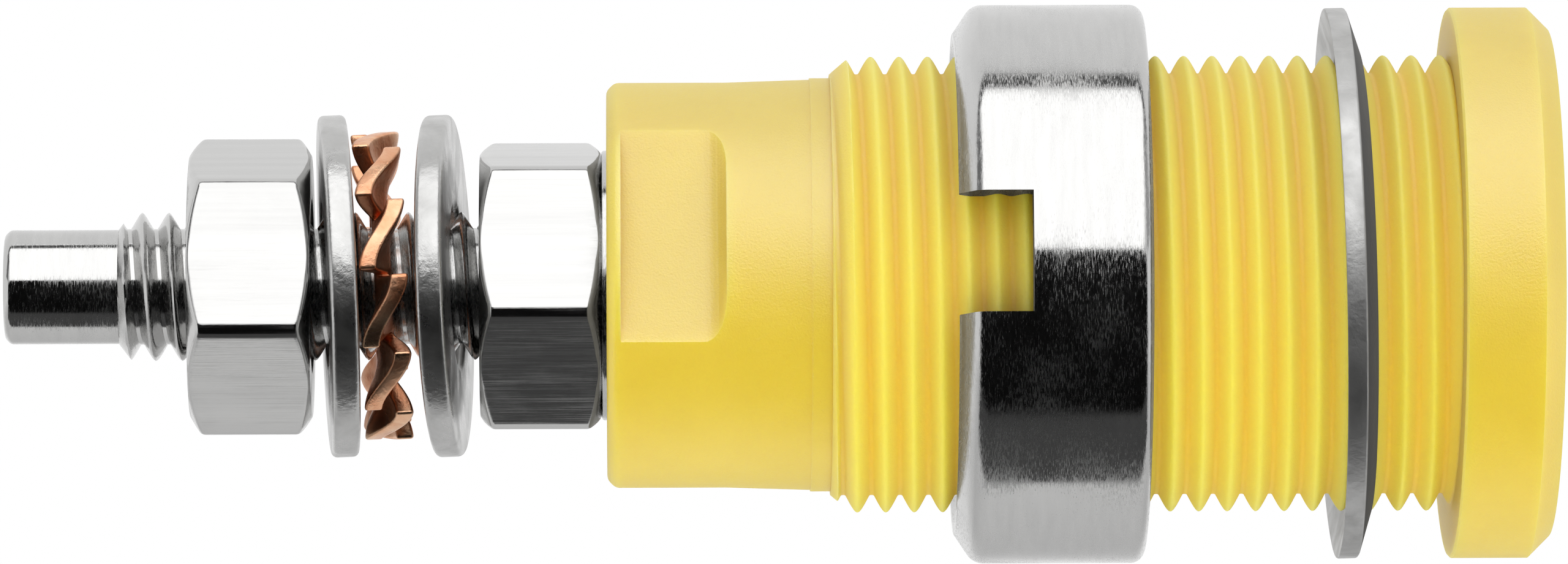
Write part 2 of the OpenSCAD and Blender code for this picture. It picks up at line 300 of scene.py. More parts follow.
def flat_line():
    """Places along a wrench flat and its heights there, with the hollow round at its front end."""
    line = [(FLAT_FROM, FLAT_R)]
    for step in range(FLAT_ROUND_STEPS + 1):
        angle = FLAT_ROUND_ARC * step / FLAT_ROUND_STEPS
        back = FLAT_ROUND * (math.sin(FLAT_ROUND_ARC) - math.sin(angle))
        line.append((FLAT_TO - back, FLAT_R + FLAT_ROUND * (1 - math.cos(angle))))
    return line


def cut_strip(bm, outward, start, end):
    """Cuts the rear body down to one strip of a wrench flat."""
    (x0, height0), (x1, height1) = start, end
    point = (AXIS * x0 + outward * height0) * MM
    normal = outward * (x1 - x0) - AXIS * (height1 - height0)

    def here(face):
        centre = face.calc_center_median()
        return x0 * MM < centre.x < x1 * MM and radius(centre) > FLAT_R * MM and centre.dot(outward) > 0

    split(bm, [f for f in bm.faces if here(f)], point, normal)
    gone = [f for f in bm.faces if here(f) and (f.calc_center_median() - point).dot(normal) > 0]
    bmesh.ops.delete(bm, geom=gone, context="FACES")


def cut_flat(bm, outward):
    """Cuts one wrench flat across the insulator's rear body and closes it."""
    line = flat_line()
    for x, _ in line:
        skin = [f for f in bm.faces if radius(f.calc_center_median()) > (REAR_R - REAR_SKIN) * MM]
        split(bm, skin, AXIS * x * MM, AXIS)
    for start, end in zip(line, line[1:]):
        cut_strip(bm, outward, start, end)

    def beside_flat(vert):
        return (FLAT_FROM - NEARLY) * MM < vert.co.x < (FLAT_TO + NEARLY) * MM and vert.co.dot(outward) > 0

    rim = [e for e in bm.edges if e.is_boundary and all(beside_flat(v) for v in e.verts)]
    sides = [e for e in rim if abs(e.verts[0].co.x - e.verts[1].co.x) > SAME_PLACE]
    chords = []
    for x, _ in line:
        corners = {v for e in sides for v in e.verts if abs(v.co.x - x * MM) < SAME_PLACE}
        chords.append(bm.edges.new(corners))
    for number, (start, end) in enumerate(zip(line, line[1:])):
        beside = [e for e in sides if start[0] * MM < (e.verts[0].co.x + e.verts[1].co.x) / 2 < end[0] * MM]
        bmesh.ops.edgeloop_fill(bm, edges=beside + chords[number:number + 2])
    for x, chord in ((FLAT_FROM, chords[0]), (FLAT_TO, chords[-1])):
        arc = [e for e in rim if all(abs(v.co.x - x * MM) < SAME_PLACE for v in e.verts)]
        bmesh.ops.edgeloop_fill(bm, edges=arc + [chord])


def on_flat_edge(point, outward):
    """Whether a point lies where a wrench flat meets the round of the rear body."""
    on_plane = abs(abs(point.dot(outward)) - FLAT_R * MM) < ON_PLANE
    on_hollow = (FLAT_TO - FLAT_ROUND) * MM < point.x < FLAT_TO * MM - ON_PLANE
    on_flat = FLAT_FROM * MM - WELD < point.x < FLAT_TO * MM
    return on_flat and (on_plane or on_hollow) and radius(point) > (REAR_R - REAR_SKIN / 2) * MM


def on_rear_chamfer(point):
    """Whether a point lies on the chamfer round the insulator's rear end."""
    return point.x < (REAR_END + REAR_CHAMFER + NEARLY) * MM and radius(point) > FLAT_R * MM


def insulator():
    """The moulding: rear body with two wrench flats, panel thread, flange and the tubes of the mouth."""
    bm = bmesh.new()
    turn(bm, [
        (BARREL_END, COLLAR_R),
        (COLLAR_END, COLLAR_R),
        (COLLAR_END, REAR_FRONT_R),
        (FLAT_TO, REAR_R),
        (REAR_END + REAR_CHAMFER, REAR_R),
        (REAR_END, REAR_R - REAR_CHAMFER),
        (REAR_END, COLLAR_HOLE_R),
        (COLLAR_HOLE_END, COLLAR_HOLE_R),
        (COLLAR_HOLE_END, HOLE_R),
        (INNER_FRONT - MOUTH, HOLE_R),
        (INNER_FRONT, HOLE_R + MOUTH),
        (INNER_FRONT, INNER_R - MOUTH),
        (INNER_FRONT - MOUTH, INNER_R),
        (GAP_FLOOR, INNER_R),
        (GAP_FLOOR, GAP_R),
        (FLANGE_T - MOUTH, GAP_R),
        (FLANGE_T, GAP_R + MOUTH),
        (FLANGE_T, FLANGE_R - FLANGE_CHAMFER),
        (FLANGE_T - FLANGE_CHAMFER, FLANGE_R),
        (FLANGE_EDGE, FLANGE_R),
        (0, FLANGE_R - FLANGE_EDGE),
        (0, CREST_R + FLANGE_ROOT),
    ], closed=False)
    near_flat = Matrix.Rotation(math.radians(-FLAT_ROLL), 3, "X") @ NEAR
    cut_flat(bm, near_flat)
    cut_flat(bm, -near_flat)
    soften(bm, FLAT_EDGE, segments=4, where=lambda p: on_flat_edge(p, near_flat))
    soften(bm, REAR_ROUND, segments=3, where=on_rear_chamfer)
    soften(bm, INSULATOR_EDGE)
    section = thread_section(PANEL_PITCH, CREST_R, ROOT_R, PANEL_FLANK,
                             PANEL_CREST_SOFTNESS, PANEL_FLANK_POINTS)
    thread = screw_thread(BARREL_END, 0, PANEL_PITCH, section, PANEL_TOP_CREST)
    chamfer_thread(thread, BARREL_END, ROOT_R, PANEL_CHAMFER)
    absorb(bm, thread)
    close_ring(bm, BARREL_END)
    close_ring(bm, 0)
    return bm


def contact():
    """One turned piece: pilot tip, stud, collar and the drilled tube for the plug."""
    bm = bmesh.new()
    turn(bm, [
        (TIP_END, 0),
        (TIP_END, TIP_R - TIP_CHAMFER),
        (TIP_END + TIP_CHAMFER, TIP_R),
        (STUD_END, TIP_R),
    ], closed=False)
    turn(bm, [
        (SEAT, SEAT_HOLE_R),
        (SEAT, CONTACT_COLLAR_R),
        (CONTACT_COLLAR_END, CONTACT_COLLAR_R),
        (CONTACT_COLLAR_END, TUBE_R),
        (TUBE_FRONT - MOUTH, TUBE_R),
        (TUBE_FRONT, TUBE_R - MOUTH),
        (TUBE_FRONT, PLUG_R + MOUTH / 2),
        (TUBE_FRONT - MOUTH / 2, PLUG_R),
        (PLUG_FLOOR, PLUG_R),
        (DRILL_POINT, 0),
    ], closed=False)
    soften(bm, CONTACT_EDGE)
    section = thread_section(STUD_PITCH, STUD_R, STUD_ROOT_R, STUD_FLANK,
                             STUD_CREST_SOFTNESS, STUD_FLANK_POINTS)
    thread = screw_thread(STUD_END, SEAT, STUD_PITCH, section, STUD_TOP_CREST)
    chamfer_thread(thread, STUD_END, STUD_ROOT_R, STUD_CHAMFER)
    absorb(bm, thread)
    close_ring(bm, STUD_END)
    close_ring(bm, SEAT)
    return bm


def hexagon_reach(angle):
    """Distance from the axis to a nut's side with rounded corners, by the angle from a corner."""
    off = abs((angle + math.pi / 6) % (math.pi / 3) - math.pi / 6)
    corner = (NUT_ACROSS / 2 - NUT_CORNER) / math.cos(math.pi / 6)
    round_to = math.atan2(NUT_CORNER / 2, corner + NUT_CORNER * math.cos(math.pi / 6))
    if off < round_to:
        return corner * math.cos(off) + math.sqrt(NUT_CORNER ** 2 - (corner * math.sin(off)) ** 2)
    return NUT_ACROSS / 2 / math.cos(math.pi / 6 - off)


def rounded_chamfer(reach, share):
    """A point (x, radius) on the round between a nut's chamfer and its side; share runs from 0 to 1."""
    depth = (reach - NUT_FACE_R) * NUT_CHAMFER
    length = min(NUT_ROUND, math.hypot(depth, reach - NUT_FACE_R) * NUT_ROUND_SHARE)
    slope = math.atan(NUT_CHAMFER)
    back = length * (1 - share) ** 2
    ahead = length * share ** 2
    return depth - back * math.sin(slope) + ahead, reach - back * math.cos(slope)


def hexagon_nut(rear, roll):
    """A turned blank with rows of points near both ends, whose outside is drawn in to the hexagon."""
    rows = [row / (NUT_ROUND_ROWS - 1) for row in range(NUT_ROUND_ROWS)]
    bm = bmesh.new()
    turn(bm, [
        (0, NUT_BORE_R + NUT_SINK),
        (0, NUT_FACE_R),
        *[(NUT_ROWS_FROM + share * NUT_ROWS_SPAN, NUT_BLANK_R) for share in rows],
        *[(NUT_H - NUT_ROWS_FROM - share * NUT_ROWS_SPAN, NUT_BLANK_R) for share in reversed(rows)],
        (NUT_H, NUT_FACE_R),
        (NUT_H, NUT_BORE_R + NUT_SINK),
        (NUT_H - NUT_SINK, NUT_BORE_R),
        (NUT_SINK, NUT_BORE_R),
    ], steps=NUT_STEPS)
    for vert in bm.verts:
        blank = radius(vert.co)
        if blank < (NUT_BLANK_R - NEARLY) * MM:
            continue
        reach = hexagon_reach(math.atan2(vert.co.z, vert.co.y) - math.radians(roll))
        from_end = min(vert.co.x / MM, NUT_H - vert.co.x / MM)
        depth, r = rounded_chamfer(reach, (from_end - NUT_ROWS_FROM) / NUT_ROWS_SPAN)
        vert.co.yz = vert.co.yz * (r * MM / blank)
        vert.co.x = (depth if vert.co.x < NUT_H * MM / 2 else NUT_H - depth) * MM
    soften(bm, NUT_EDGE)
    place(bm, rear, 0, 0)
    return bm


def flat_washer(x, lean, yaw):
    """A stamped plain washer, loose on the stud."""
    half = WASHER_T / 2
    bm = bmesh.new()
    turn(bm, [
        (-half, WASHER_HOLE_R),
        (-half, WASHER_R),
        (half, WASHER_R),
        (half, WASHER_HOLE_R),
    ])
    soften(bm, WASHER_EDGE, segments=4)
    place(bm, x, lean, yaw)
    return bm


def fan_washer():
    """One sector of the sheet is bent, repeated round the axis and given its thickness."""
    bm = bmesh.new()
    bmesh.ops.create_grid(bm, x_segments=FAN_COLUMNS, y_segments=FAN_ROWS, size=1)
    pitch = math.tau / FAN_TEETH
    for vert in bm.verts:
        across = vert.co.x
        out = (vert.co.y + 1) / 2
        growth = max(0, (out - FAN_RING_SHARE) / (1 - FAN_RING_SHARE))
        if growth < NEARLY:
            r = WASHER_HOLE_R + (FAN_RING_R - WASHER_HOLE_R) * out / FAN_RING_SHARE
            half_angle = pitch / 2
        else:
            r = FAN_RING_R + (FAN_R - FAN_RING_R) * growth
            half_angle = pitch / 2 - FAN_SLOT / 2
        lift = -FAN_RISE / 2 * math.sin(math.pi / 2 * growth) * math.sin(math.pi / 2 * across)
        angle = FAN_ROLL + across * half_angle
        vert.co = Vector((lift, r * math.sin(angle), -r * math.cos(angle))) * MM
    bmesh.ops.spin(bm, geom=[*bm.verts, *bm.edges, *bm.faces], cent=CENTRE, axis=AXIS,
                   angle=math.tau - pitch, steps=FAN_TEETH - 1, use_duplicate=True)
    bmesh.ops.remove_doubles(bm, verts=bm.verts, dist=WELD)
    lower = list(bm.verts)
    raised = bmesh.ops.extrude_face_region(bm, geom=bm.faces[:])["geom"]
    upper = [v for v in raised if isinstance(v, bmesh.types.BMVert)]
    for verts, side in ((lower, -0.5), (upper, 0.5)):
        for vert in verts:
            on_ring = radius(vert.co) < (FAN_RING_R + NEARLY) * MM
            vert.co.x += side * (FAN_SHEET if on_ring else FAN_TOOTH_SHEET) * MM
    bmesh.ops.recalc_face_normals(bm, faces=bm.faces)
    soften(bm, FAN_EDGE, segments=3, sharper_than=45)
    place(bm, *FAN_WASHER)
    return bm


def panel_washer():
    """A dished ring with two conical faces, loose on the panel thread."""
    half = PANEL_WASHER_T / 2
    bm = bmesh.new()
    turn(bm, [
        (PANEL_WASHER_DISH - half, PANEL_WASHER_HOLE_R),
        (-half, PANEL_WASHER_R),
        (half, PANEL_WASHER_R),
        (PANEL_WASHER_DISH + half, PANEL_WASHER_HOLE_R),
    ])
    soften(bm, PANEL_WASHER_EDGE)
    place(bm, *PANEL_WASHER)
    return bm


def slot_directions():
    """The way a cutter runs along the spanner slot, and the way across it."""
    roll = Matrix.Rotation(math.radians(-SLOT_ROLL), 3, "X")
    return roll @ NEAR, roll @ UP


def cut_spanner_slot(bm):
    """Cuts the spanner slot right across the ring nut's rear end."""
    along, across = slot_directions()
    half = SLOT_W / 2 * MM
    floor = SLOT_FLOOR * MM

    def behind_floor():
        return [f for f in bm.faces if f.calc_center_median().x < floor]

    split(bm, bm.faces[:], AXIS * floor, AXIS)
    for side in (1, -1):
        split(bm, behind_floor(), across * half * side, across)
    gone = [f for f in behind_floor() if abs(f.calc_center_median().dot(across)) < half]
    bmesh.ops.delete(bm, geom=gone, context="FACES")
    for end in (1, -1):
        rim = [e for e in bm.edges if e.is_boundary and all(v.co.dot(along) * end > 0 for v in e.verts)]
        bottom = [e for e in rim if all(abs(v.co.x - floor) < ON_PLANE for v in e.verts)]
        for side in (1, -1):
            wall = [e for e in rim if all(abs(v.co.dot(across) * side - half) < ON_PLANE for v in e.verts)]
            corners = {v for e in wall for v in e.verts if abs(v.co.x - floor) < ON_PLANE}
            closing = bm.edges.new(corners)
            bottom.append(closing)
            bmesh.ops.edgeloop_fill(bm, edges=wall + [closing])
        bmesh.ops.edgeloop_fill(bm, edges=bottom)


def mark_milled_shaded_faces(bm):
    """Gives the walls and the floor of the spanner slot their second material, milled and painted dark as
    painted shade.
    """
    _, across = slot_directions()
    for face in bm.faces:
        centre = face.calc_center_median()
        off_wall = abs(abs(centre.dot(across)) - SLOT_W / 2 * MM)
        off_floor = abs(centre.x - SLOT_FLOOR * MM)
        on_wall = off_wall < ON_PLANE and abs(face.normal.dot(across)) > SQUARE
        on_floor = off_floor < ON_PLANE and abs(face.normal.x) > SQUARE
        if on_wall or on_floor:
            face.material_index = 1


def ring_threads():
    """The grooves of the ring nut's own thread, from its front to its rear."""
    middle = (RING_REAR + RING_FRONT) / 2
    line = []
    for number in range(RING_THREADS):
        front = middle + (RING_THREADS / 2 - number) * PANEL_PITCH
        line.extend((front - back, RING_BORE_R + depth) for back, depth in RING_GROOVE)
    return line


def on_ring_rim(point):
    """Whether a point lies on the ring nut's outer cylinder."""
    return radius(point) > (RING_R - NEARLY) * MM


def ring_nut():
    """The turned nut on the panel thread, with a spanner slot across its bevelled rear end."""
    middle = (RING_REAR + RING_FRONT) / 2 * MM
    bm = bmesh.new()
    turn(bm, [
        (RING_REAR, RING_BORE_R + RING_SINK),
        (RING_REAR, RING_R - RING_BEVEL_W),
        (RING_REAR + RING_BEVEL_L, RING_R),
        (RING_FRONT, RING_R),
        (RING_FRONT, RING_BORE_R + RING_SINK),
        (RING_FRONT - RING_SINK, RING_BORE_R),
        *ring_threads(),
        (RING_REAR + RING_SINK, RING_BORE_R),
    ], steps=RING_STEPS)
    soften(bm, RING_ROUND, segments=6, where=lambda p: on_ring_rim(p) and p.x > middle)
    soften(bm, RING_REAR_ROUND, segments=4, where=lambda p: on_ring_rim(p) and p.x < middle)
    cut_spanner_slot(bm)
    split(bm, bm.faces[:], AXIS * (SLOT_FLOOR + SLOT_MARGIN) * MM, AXIS)
    soften(bm, RING_EDGE, sharper_than=30)
    bmesh.ops.remove_doubles(bm, verts=bm.verts, dist=SLIVER)
    bmesh.ops.recalc_face_normals(bm, faces=bm.faces)
    mark_milled_shaded_faces(bm)
    return bm


# Colours of the materials
NICKEL_DARK = (0.562, 0.560, 0.554)
NICKEL_LIGHT = (0.618, 0.616, 0.608)
# Painted shade: the spanner slot's walls and floor are painted dark
SLOT_SHADE_DARK = (0.1, 0.1, 0.1)
SLOT_SHADE_LIGHT = (0.3, 0.3, 0.29)
STAMPED_BRIGHT = (0.60, 0.598, 0.59)
STAMPED_DULL = (0.50, 0.498, 0.49)
# Painted shade on the side of the panel washer that faces the flange
DISHED_FACE_SHADE = (0.25, 0.25, 0.25)
# Copper: brown in the marks, and brown towards the ring as painted shade
COPPER_BROWN = (0.70, 0.26, 0.12)
COPPER_BRIGHT = (1.0, 0.68, 0.45)
PLASTIC_DEEP = (0.78, 0.587, 0.036)
PLASTIC_PALE = (0.83, 0.637, 0.054)
# Painted light: the thread's colour is paler to offset the shade in its grooves
PLASTIC_THREAD_PAINTED_LIGHT = (0.92, 0.700, 0.058)
# Painted reflection: the colour that glossy rays see in place of the yellow
PLASTIC_PAINTED_REFLECTION = (0.34, 0.32, 0.25)

# Plastic: gloss, roughness, what the thread adds to it, the thread's fade at the flange in millimetres,
# and the depth of scatter in metres with its share for red, green and blue
PLASTIC_IOR = 1.85
PLASTIC_SATIN = (0.40, 0.54)
THREAD_DULLING = 0.34
THREAD_FADE = 0.05
SCATTER_DEPTH = 0.0012
SCATTER_SHARE = (0.7, 0.7, 0.7)

# Copper: roughness, and painted shade: its colour grows lighter between two distances from the axis in
# millimetres, so it is darker towards its ring
COPPER_SATIN = (0.20, 0.36)
PAINTED_LIGHT_FROM = 2.9
PAINTED_LIGHT_TO = 4.0
BRIGHT_SHARE_LEAST = 0.15
PAINTED_LIGHT_GAIN = 0.8

# Noise: sizes per metre, and the ranges of its values that are used
FLOW_SIZE = 260.0
SKIN_SIZE = 16000.0
MARK_SIZE = 420.0
DENT_SIZE = 900.0
STAMPED_GRAIN = (5000, 5000, 5000)
COPPER_GRAIN = (9000, 9000, 9000)
NOISE_RANGE = (0.3, 0.7)
CLOUD_RANGE = (0.3, 1.5)
STREAK_RANGE = (0.7, 1.3)
WEAR_RANGE = (0.5, 0.75)
MARKS_IN_WEAR = 0.2

# Heights of relief in metres
GRAIN_HEIGHT = 0.00002
DENT_HEIGHT = 0.00003
SKIN_HEIGHT = 0.000018


# Materials

def add(tree, kind, links=None, **values):
    """A shader node with its settings, its socket values and its incoming links."""
    node = tree.nodes.new(kind)
    sockets = values.pop("sockets", {})
    for name, value in values.items():
        setattr(node, name, value)
    for name, value in sockets.items():
        node.inputs[name].default_value = value
    for name, source in (links or {}).items():
        tree.links.new(source, node.inputs[name])
    return node


def group_sockets(group, inputs, outputs):
    """Names a node group's sockets and returns its input and output nodes."""
    for name, kind, value in inputs:
        socket = group.interface.new_socket(name, in_out="INPUT", socket_type=kind)
        socket.default_value = value
    for name in outputs:
        group.interface.new_socket(name, in_out="OUTPUT", socket_type="NodeSocketFloat")
    return group.nodes.new("NodeGroupInput"), group.nodes.new("NodeGroupOutput")


def grain_group():
    """Fine and broad streaks of a worked surface, stretched along or round the axis."""
    group = bpy.data.node_groups.new("worked_grain", "ShaderNodeTree")
    given, made = group_sockets(group, [
        ("Vector", "NodeSocketVector", (0, 0, 0)),
        ("Stretch", "NodeSocketVector", (1, 1, 1)),
    ], ["Fine", "Broad"])
    stretched = add(group, "ShaderNodeVectorMath", {0: given.outputs["Vector"], 1: given.outputs["Stretch"]},
                    operation="MULTIPLY")
    fine = add(group, "ShaderNodeTexNoise", {"Vector": stretched.outputs["Vector"]},
               sockets={"Scale": 1.0, "Detail": 4.0, "Roughness": 0.62})
    broad = add(group, "ShaderNodeTexNoise", {"Vector": stretched.outputs["Vector"]},
                sockets={"Scale": 0.12, "Detail": 2.0, "Roughness": 0.5})
    group.links.new(fine.outputs["Fac"], made.inputs["Fine"])
    group.links.new(broad.outputs["Fac"], made.inputs["Broad"])
    return group


def handling_group():
    """Soft cloudy marks of handling and storage."""
    group = bpy.data.node_groups.new("handling_marks", "ShaderNodeTree")
    given, made = group_sockets(group, [
        ("Vector", "NodeSocketVector", (0, 0, 0)),
        ("Size", "NodeSocketFloat", 400.0),
    ], ["Marks"])
    cloud = add(group, "ShaderNodeTexNoise",
                {"Vector": given.outputs["Vector"], "Scale": given.outputs["Size"]},
                sockets={"Detail": 5.0, "Roughness": 0.6, "Distortion": 0.4})
    marks = add(group, "ShaderNodeMapRange", {"Value": cloud.outputs["Fac"]},
                sockets={"From Min": 0.35, "From Max": 0.7})
    group.links.new(marks.outputs["Result"], made.inputs["Marks"])
    return group


def bare_material(name):
    """A material with no nodes yet, and its tree."""
    material = bpy.data.materials.new(name)
    material.use_nodes = True
    material.node_tree.nodes.clear()
    return material, material.node_tree


def blank_material(name):
    """A material with a Principled shader, an output and the piece's own coordinates."""
    material, tree = bare_material(name)
    shader = tree.nodes.new("ShaderNodeBsdfPrincipled")
    output = tree.nodes.new("ShaderNodeOutputMaterial")
    tree.links.new(shader.outputs["BSDF"], output.inputs["Surface"])
    coordinates = tree.nodes.new("ShaderNodeTexCoord").outputs["Object"]
    return material, tree, shader, coordinates


def place_group(tree, group, vector, sockets):
    """Puts a shared effect into a material with this finish's own values."""
    node = tree.nodes.new("ShaderNodeGroup")
    node.node_tree = group
    tree.links.new(vector, node.inputs["Vector"])
    for name, value in sockets.items():
        node.inputs[name].default_value = value
    return node


def ranged(tree, value, low, high, out_low, out_high):
    """Maps a value's range to another one."""
    node = add(tree, "ShaderNodeMapRange", {"Value": value},
               sockets={"From Min": low, "From Max": high, "To Min": out_low, "To Max": out_high})
    return node.outputs["Result"]


def blend(tree, share, first, second):
    """A colour between two, by a share that changes over the surface; either may be a colour or a socket."""
    node = add(tree, "ShaderNodeMix", data_type="RGBA")
    tree.links.new(share, node.inputs["Factor"])
    ends = [s for s in node.inputs if s.type == "RGBA"]
    for end, colour in zip(ends, (first, second)):
        if isinstance(colour, tuple):
            end.default_value = (*colour, 1)
        else:
            tree.links.new(colour, end)
    return next(s for s in node.outputs if s.type == "RGBA")


def nickel(name, stretch, roughness, bump, dark=NICKEL_DARK, light=NICKEL_LIGHT):
    """Nickel plate over a worked surface; stretch sets which way the grain runs."""
    material, tree, shader, here = blank_material(name)
    grain = place_group(tree, GRAIN, here, {"Stretch": stretch})
    marks = place_group(tree, HANDLING, here, {"Size": MARK_SIZE})
    streaks = add(tree, "ShaderNodeMath", {0: grain.outputs["Fine"], 1: grain.outputs["Broad"]},
                  operation="ADD")
    tone = ranged(tree, streaks.outputs["Value"], *STREAK_RANGE, 0, 1)
    tree.links.new(blend(tree, tone, dark, light), shader.inputs["Base Color"])
    worn = add(tree, "ShaderNodeMath", {0: marks.outputs["Marks"], 2: grain.outputs["Fine"]},
               operation="MULTIPLY_ADD", sockets={1: MARKS_IN_WEAR})
    tree.links.new(ranged(tree, worn.outputs["Value"], *WEAR_RANGE, *roughness), shader.inputs["Roughness"])
    relief = add(tree, "ShaderNodeBump", {"Height": grain.outputs["Fine"]},
                 sockets={"Strength": bump, "Distance": GRAIN_HEIGHT})
    tree.links.new(relief.outputs["Normal"], shader.inputs["Normal"])
    shader.inputs["Metallic"].default_value = 1.0
    return material


def distance_from_axis(tree, here):
    """How far a point of the surface lies from the socket's axis."""
    flat = add(tree, "ShaderNodeVectorMath", {0: here}, operation="MULTIPLY", sockets={1: (0, 1, 1)})
    return add(tree, "ShaderNodeVectorMath", {0: flat.outputs["Vector"]}, operation="LENGTH").outputs["Value"]


def yellow_polyamide():
    """Satin moulded plastic: faint flow clouds, a fine eroded skin, and a duller thread that is painted
    paler, as painted light that offsets the shade in its grooves.

    Glossy rays see it painted a warm grey, a painted reflection, so the metal beside it mirrors it grey.
    """
    material, tree, shader, here = blank_material("yellow_polyamide")
    flow = place_group(tree, HANDLING, here, {"Size": FLOW_SIZE})
    skin = add(tree, "ShaderNodeTexNoise", {"Vector": here},
               sockets={"Scale": SKIN_SIZE, "Detail": 3.0, "Roughness": 0.6})
    cloud = add(tree, "ShaderNodeMath", {0: flow.outputs["Marks"], 1: skin.outputs["Fac"]}, operation="ADD")
    share = ranged(tree, cloud.outputs["Value"], *CLOUD_RANGE, 0, 1)
    skin_colour = blend(tree, share, PLASTIC_DEEP, PLASTIC_PALE)
    along_axis = add(tree, "ShaderNodeSeparateXYZ", {"Vector": here}).outputs["X"]
    ahead_of_collar = ranged(tree, along_axis, BARREL_END * MM, (BARREL_END + PANEL_PITCH) * MM, 0, 1)
    behind_flange = ranged(tree, along_axis, 0, -THREAD_FADE * MM, 0, 1)
    thread = add(tree, "ShaderNodeMath", {0: ahead_of_collar, 1: behind_flange}, operation="MULTIPLY")
    # Painted light: the thread is painted paler to offset the shade in its grooves
    colour = blend(tree, thread.outputs["Value"], skin_colour, PLASTIC_THREAD_PAINTED_LIGHT)
    rays = add(tree, "ShaderNodeLightPath")
    # Painted reflection: glossy rays see the plastic as a warm grey
    shown = blend(tree, rays.outputs["Is Glossy Ray"], colour, PLASTIC_PAINTED_REFLECTION)
    tree.links.new(shown, shader.inputs["Base Color"])
    satin = ranged(tree, skin.outputs["Fac"], *NOISE_RANGE, *PLASTIC_SATIN)
    roughness = add(tree, "ShaderNodeMath", {0: thread.outputs["Value"], 2: satin}, operation="MULTIPLY_ADD",
                    sockets={1: THREAD_DULLING})
    tree.links.new(roughness.outputs["Value"], shader.inputs["Roughness"])
    relief = add(tree, "ShaderNodeBump", {"Height": skin.outputs["Fac"]},
                 sockets={"Strength": 0.8, "Distance": SKIN_HEIGHT})
    tree.links.new(relief.outputs["Normal"], shader.inputs["Normal"])
    shader.inputs["IOR"].default_value = PLASTIC_IOR
    shader.inputs["Specular IOR Level"].default_value = 1.0
    shader.inputs["Subsurface Weight"].default_value = 1.0
    shader.inputs["Subsurface Radius"].default_value = SCATTER_SHARE
    shader.inputs["Subsurface Scale"].default_value = SCATTER_DEPTH
    return material


def dent(tree, shader, marks, grain, dents, scratches):
    """Gives a surface shallow dents with a fine grain over them, each with its strength."""
    dented = add(tree, "ShaderNodeBump", {"Height": marks.outputs["Marks"]},
                 sockets={"Strength": dents, "Distance": DENT_HEIGHT})
    relief = add(tree, "ShaderNodeBump",
                 {"Height": grain.outputs["Fine"], "Normal": dented.outputs["Normal"]},
                 sockets={"Strength": scratches, "Distance": DENT_HEIGHT})
    tree.links.new(relief.outputs["Normal"], shader.inputs["Normal"])


def copper_spring():
    """Copper-coloured spring sheet, browner in the marks, and browner towards its ring as painted shade."""
    material, tree, shader, here = blank_material("copper_spring")
    grain = place_group(tree, GRAIN, here, {"Stretch": COPPER_GRAIN})
    marks = place_group(tree, HANDLING, here, {"Size": DENT_SIZE})
    reach = distance_from_axis(tree, here)
    # Painted shade: darker towards the ring, lighter farther out
    bright = ranged(tree, reach, PAINTED_LIGHT_FROM * MM, PAINTED_LIGHT_TO * MM, 0, PAINTED_LIGHT_GAIN)
    share = add(tree, "ShaderNodeMath", {0: bright, 1: marks.outputs["Marks"]}, operation="MULTIPLY_ADD",
                sockets={2: BRIGHT_SHARE_LEAST})
    colour = blend(tree, share.outputs["Value"], COPPER_BROWN, COPPER_BRIGHT)
    tree.links.new(colour, shader.inputs["Base Color"])
    satin = ranged(tree, grain.outputs["Broad"], *NOISE_RANGE, *COPPER_SATIN)
    tree.links.new(satin, shader.inputs["Roughness"])
    dent(tree, shader, marks, grain, dents=0.4, scratches=0.35)
    shader.inputs["Metallic"].default_value = 1.0
    return material


def stamped_nickel(name, roughness):
    """Nickel plate over a stamped washer: dented, and rougher than the drawn bar."""
    material, tree, shader, here = blank_material(name)
    grain = place_group(tree, GRAIN, here, {"Stretch": STAMPED_GRAIN})
    marks = place_group(tree, HANDLING, here, {"Size": DENT_SIZE})
    colour = blend(tree, marks.outputs["Marks"], STAMPED_BRIGHT, STAMPED_DULL)
    tree.links.new(colour, shader.inputs["Base Color"])
    tree.links.new(ranged(tree, marks.outputs["Marks"], 0, 1, *roughness), shader.inputs["Roughness"])
    dent(tree, shader, marks, grain, dents=0.35, scratches=0.3)
    shader.inputs["Metallic"].default_value = 1.0
    return material


def dull_and_shade_dished_face(material):
    """Leaves the plate dark grey and matt on the side of the panel washer that faces the flange: painted
    shade, so that side shows no yellow reflection of the flange.
    """
    tree = material.node_tree
    shader = tree.nodes["Principled BSDF"]
    here = tree.nodes["Texture Coordinate"].outputs["Object"]
    x, lean, _ = PANEL_WASHER
    tilt = math.radians(lean)
    rise = add(tree, "ShaderNodeVectorMath", {0: here}, operation="DOT_PRODUCT",
               sockets={1: (math.cos(tilt), 0, math.sin(tilt))})
    face = (x * math.cos(tilt) + PANEL_WASHER_T / 2) * MM
    share = ranged(tree, rise.outputs["Value"], face - NEARLY * MM, face + 2 * NEARLY * MM, 0, 1)
    bright = shader.inputs["Base Color"].links[0].from_socket
    # Painted shade: that side is blended to dark grey
    tree.links.new(blend(tree, share, bright, DISHED_FACE_SHADE), shader.inputs["Base Color"])
    rough = add(tree, "ShaderNodeMath", {0: share, 1: shader.inputs["Roughness"].links[0].from_socket},
                operation="MAXIMUM")
    tree.links.new(rough.outputs["Value"], shader.inputs["Roughness"])
    return material


GRAIN = grain_group()
HANDLING = handling_group()
YELLOW = yellow_polyamide()
COPPER = copper_spring()
NICKEL_TURNED = nickel("nickel_turned", stretch=(44000, 5500, 5500), roughness=(0.06, 0.34), bump=0.11)
NICKEL_DRAWN = nickel("nickel_drawn", stretch=(400, 26000, 26000), roughness=(0.10, 0.25), bump=0.08)
